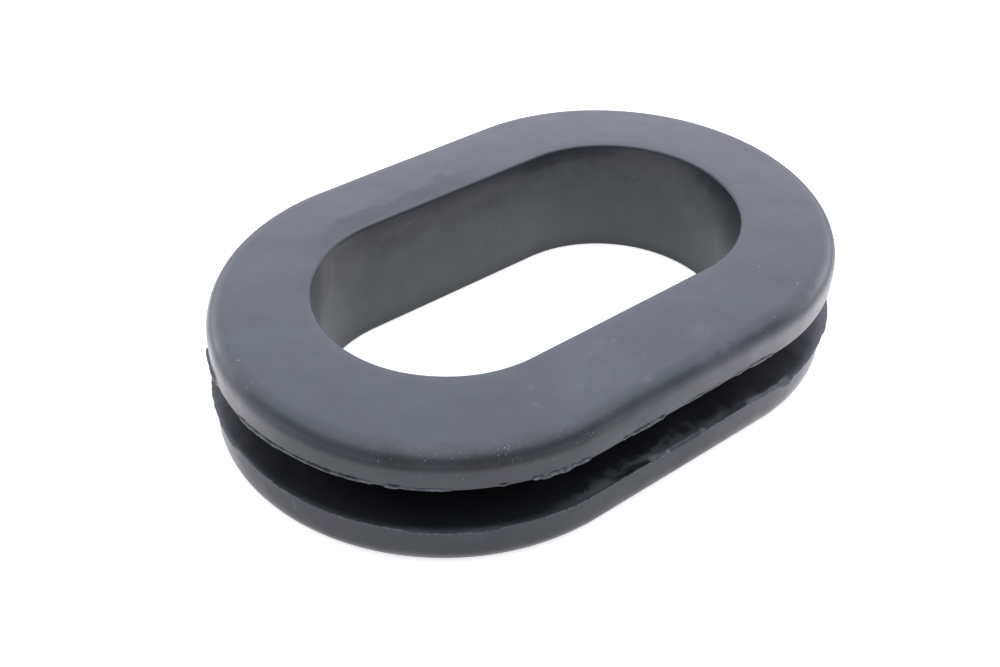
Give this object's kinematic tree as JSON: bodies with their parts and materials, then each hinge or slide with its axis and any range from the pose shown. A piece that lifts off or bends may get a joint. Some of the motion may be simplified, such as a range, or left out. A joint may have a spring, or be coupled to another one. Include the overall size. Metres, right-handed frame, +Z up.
{
  "type": "rubber grommet",
  "caption": "Obround moulded rubber grommet: an upper and a lower flange joined by a neck, a panel groove all round and a cable opening through the middle.",
  "frame": {"origin": "middle of the underside of the lower flange", "axes": "+X along the long axis of the grommet, +Z up through the cable opening, from the lower flange to the upper one"},
  "size_m": [0.0806, 0.0546, 0.016],
  "materials": {
    "rubber": "matt moulded black rubber with a faint blue-grey bloom"
  },
  "bodies": {
    "root": {"grommet": "rubber"}
  },
  "joints": []
}
